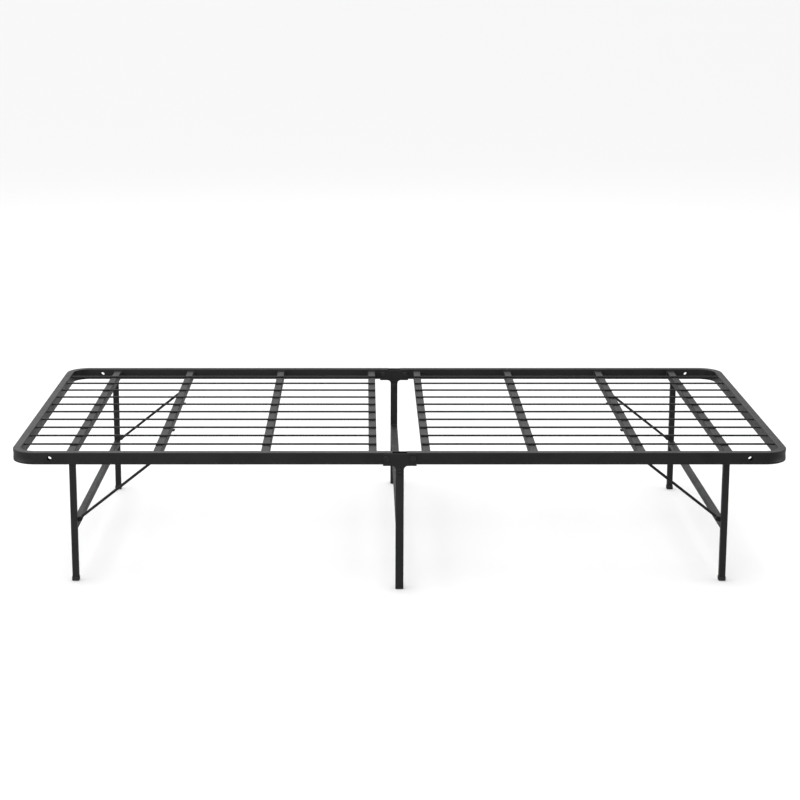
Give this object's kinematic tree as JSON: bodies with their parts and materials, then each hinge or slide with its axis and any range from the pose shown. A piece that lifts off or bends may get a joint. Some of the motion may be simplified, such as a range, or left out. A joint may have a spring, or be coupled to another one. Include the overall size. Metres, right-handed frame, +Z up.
{
  "type": "folding metal bed frame",
  "caption": "Low folding bed frame of square steel tube: two railed halves with support wires, hinged over centre legs, and folding end legs propped by wire stays.",
  "frame": {"origin": "on the floor under the middle of the frame", "axes": "+X towards the foot end, +Y across to the right side, +Z up"},
  "size_m": [1.905, 0.99, 0.348],
  "materials": {
    "rail_paint": "satin black powder coat",
    "bar_paint": "satin black powder coat",
    "wire_paint": "satin black powder coat",
    "leg_paint": "satin black powder coat",
    "bracket_paint": "satin black powder coat",
    "black_plastic": "matte moulded",
    "dark_fasteners": "dark plated steel"
  },
  "bodies": {
    "centre_support": {"hinge_bracket_left": "bracket_paint", "hinge_bracket_right": "bracket_paint", "hinge_rivets": "dark_fasteners", "centre_leg_left": "leg_paint", "centre_leg_right": "leg_paint", "centre_leg_crossbar": "leg_paint", "centre_foot_caps": "black_plastic", "centre_leg_bolts": "dark_fasteners", "centre_leg_nuts": "dark_fasteners"},
    "head_frame": {"head_rail": "rail_paint", "head_rail_plugs": "black_plastic", "head_fold_bar": "bar_paint", "head_middle_bar": "bar_paint", "head_hook_bar": "bar_paint", "head_leg_bar": "bar_paint", "head_support_wires": "wire_paint", "head_stay_hooks": "bar_paint", "head_leg_brackets": "bar_paint", "head_leg_bolts": "dark_fasteners", "head_leg_nuts": "dark_fasteners"},
    "head_leg_frame": {"head_leg_left": "leg_paint", "head_leg_right": "leg_paint", "head_leg_crossbar": "leg_paint", "head_leg_caps": "black_plastic", "head_stay_lugs": "leg_paint"},
    "head_stay_bail": {"head_stay": "wire_paint"},
    "foot_frame": {"foot_rail": "rail_paint", "foot_rail_plugs": "black_plastic", "foot_fold_bar": "bar_paint", "foot_middle_bar": "bar_paint", "foot_hook_bar": "bar_paint", "foot_leg_bar": "bar_paint", "foot_support_wires": "wire_paint", "foot_stay_hooks": "bar_paint", "foot_leg_brackets": "bar_paint", "foot_leg_bolts": "dark_fasteners", "foot_leg_nuts": "dark_fasteners"},
    "foot_leg_frame": {"foot_leg_left": "leg_paint", "foot_leg_right": "leg_paint", "foot_leg_crossbar": "leg_paint", "foot_leg_caps": "black_plastic", "foot_stay_lugs": "leg_paint"},
    "foot_stay_bail": {"foot_stay": "wire_paint"}
  },
  "joints": [
    {"name": "head_fold", "type": "hinge", "parent": "centre_support", "child": "head_frame", "pos_m": [-0.033, 0, 0.333], "axis": [0, 1, 0], "range_deg": [0, 90]},
    {"name": "head_leg_fold", "type": "hinge", "parent": "head_frame", "child": "head_leg_frame", "pos_m": [-0.8095, 0, 0.308], "axis": [0, -1, 0], "range_deg": [0, 88]},
    {"name": "head_stay_fold", "type": "hinge", "parent": "head_leg_frame", "child": "head_stay_bail", "pos_m": [-0.7965, 0, 0.1565], "axis": [0, 1, 0], "range_deg": [0, 128.5]},
    {"name": "foot_fold", "type": "hinge", "parent": "centre_support", "child": "foot_frame", "pos_m": [0.033, 0, 0.333], "axis": [0, -1, 0], "range_deg": [0, 90]},
    {"name": "foot_leg_fold", "type": "hinge", "parent": "foot_frame", "child": "foot_leg_frame", "pos_m": [0.8095, 0, 0.308], "axis": [0, 1, 0], "range_deg": [0, 88]},
    {"name": "foot_stay_fold", "type": "hinge", "parent": "foot_leg_frame", "child": "foot_stay_bail", "pos_m": [0.7965, 0, 0.1565], "axis": [0, -1, 0], "range_deg": [0, 128.5]}
  ],
  "couplings": [
    {"joint": "head_stay_fold", "follows": "head_leg_fold", "ratio": 1.455},
    {"joint": "foot_stay_fold", "follows": "foot_leg_fold", "ratio": 1.455}
  ]
}
